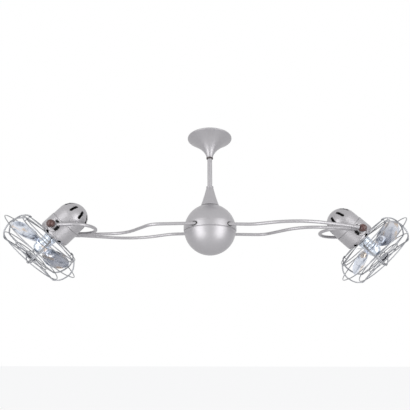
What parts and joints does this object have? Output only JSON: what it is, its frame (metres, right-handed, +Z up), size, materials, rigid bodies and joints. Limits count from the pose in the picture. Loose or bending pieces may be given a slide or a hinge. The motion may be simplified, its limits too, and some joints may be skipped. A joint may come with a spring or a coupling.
{
  "type": "twin head ceiling fan",
  "caption": "Ceiling fan with two tilting caged motor heads on curved arms that turn about a central ball hub hung from a downrod and flared canopy.",
  "frame": {"origin": "centre of the ceiling plate's upper face, midway between its two screw holes, on the downrod's axis", "axes": "+Z up along the downrod, +X along the arms towards the right head, -Y towards the viewer of the picture"},
  "size_m": [1.2606, 0.342, 0.4923],
  "materials": {
    "silver_paint": "satin metallic silver paint",
    "chrome_wire": "bright chromed wire",
    "polished_metal": "mirror-polished hub",
    "polished_blade": "polished metal blade",
    "mahogany": "dark red-brown turned wood, lacquered",
    "dark_collar": "dark collar",
    "zinc_steel": "zinc-plated steel",
    "cast_alloy": "cast aluminium",
    "bearing_steel": "ground bearing steel",
    "lamination_steel": "stacked steel laminations",
    "copper_wire": "enamelled copper windings",
    "slip_brass": "brass contact rings",
    "black_plastic": "black moulded plastic",
    "black_rubber": "black rubber"
  },
  "bodies": {
    "mount": {"ceiling_bracket": "zinc_steel", "hanger_ball": "black_plastic", "cross_pin": "zinc_steel", "canopy": "silver_paint", "collar_ring": "dark_collar", "collar_screw": "zinc_steel", "downrod": "silver_paint", "neck_cover": "silver_paint", "spindle": "zinc_steel", "spindle_nut": "zinc_steel", "brush_block": "black_plastic"},
    "arms": {"hub_casting": "cast_alloy", "hub_bearings": "bearing_steel", "slip_ring": "slip_brass", "ball_upper": "silver_paint", "ball_band": "silver_paint", "ball_lower": "silver_paint", "arm_grommets": "black_rubber", "arm_curve_left": "silver_paint", "arm_curve_right": "silver_paint", "arm_bow_left": "silver_paint", "arm_bow_right": "silver_paint", "yoke_left": "silver_paint", "yoke_right": "silver_paint", "arm_joint_left": "silver_paint", "arm_joint_right": "silver_paint"},
    "head_left": {"housing_front_left": "silver_paint", "housing_rear_left": "silver_paint", "stator_left": "lamination_steel", "winding_left": "copper_wire", "bearings_left": "bearing_steel", "pivot_bushes_left": "black_plastic", "pivot_studs_left": "zinc_steel", "guard_rear_left": "chrome_wire", "guard_front_left": "chrome_wire", "guard_boss_left": "chrome_wire"},
    "fan_left": {"rotor_left": "lamination_steel", "blade_hub_left": "polished_metal", "blades_left": "polished_blade", "spinner_left": "polished_metal"},
    "knob_near_left": {"knob_near_left": "mahogany"},
    "knob_far_left": {"knob_far_left": "mahogany"},
    "head_right": {"housing_front_right": "silver_paint", "housing_rear_right": "silver_paint", "stator_right": "lamination_steel", "winding_right": "copper_wire", "bearings_right": "bearing_steel", "pivot_bushes_right": "black_plastic", "pivot_studs_right": "zinc_steel", "guard_rear_right": "chrome_wire", "guard_front_right": "chrome_wire", "guard_boss_right": "chrome_wire"},
    "fan_right": {"rotor_right": "lamination_steel", "blade_hub_right": "polished_metal", "blades_right": "polished_blade", "spinner_right": "polished_metal"},
    "knob_near_right": {"knob_near_right": "mahogany"},
    "knob_far_right": {"knob_far_right": "mahogany"}
  },
  "joints": [
    {"name": "arms_spin", "type": "hinge", "parent": "mount", "child": "arms", "pos_m": [0, 0, -0.327], "axis": [0, 0, 1], "continuous": true},
    {"name": "head_tilt_left", "type": "hinge", "parent": "arms", "child": "head_left", "pos_m": [-0.47091, -0.0315, -0.33304], "axis": [0, -1, 0], "range_deg": [-137.5, 42.5]},
    {"name": "fan_spin_left", "type": "hinge", "parent": "head_left", "child": "fan_left", "pos_m": [-0.47091, -0.0315, -0.33304], "axis": [-0.6756, 0, -0.7373], "continuous": true},
    {"name": "knob_turn_near_left", "type": "hinge", "parent": "head_left", "child": "knob_near_left", "pos_m": [-0.47091, 0.0373, -0.33304], "axis": [0, 1, 0], "range_deg": [0, 540]},
    {"name": "knob_turn_far_left", "type": "hinge", "parent": "head_left", "child": "knob_far_left", "pos_m": [-0.47091, -0.1003, -0.33304], "axis": [0, -1, 0], "range_deg": [0, 540]},
    {"name": "head_tilt_right", "type": "hinge", "parent": "arms", "child": "head_right", "pos_m": [0.47091, 0.0315, -0.33304], "axis": [0, 1, 0], "range_deg": [-135, 45]},
    {"name": "fan_spin_right", "type": "hinge", "parent": "head_right", "child": "fan_right", "pos_m": [0.47091, 0.0315, -0.33304], "axis": [0.7071, 0, -0.7071], "continuous": true},
    {"name": "knob_turn_near_right", "type": "hinge", "parent": "head_right", "child": "knob_near_right", "pos_m": [0.47091, -0.0373, -0.33304], "axis": [0, -1, 0], "range_deg": [0, 540]},
    {"name": "knob_turn_far_right", "type": "hinge", "parent": "head_right", "child": "knob_far_right", "pos_m": [0.47091, 0.1003, -0.33304], "axis": [0, 1, 0], "range_deg": [0, 540]}
  ]
}
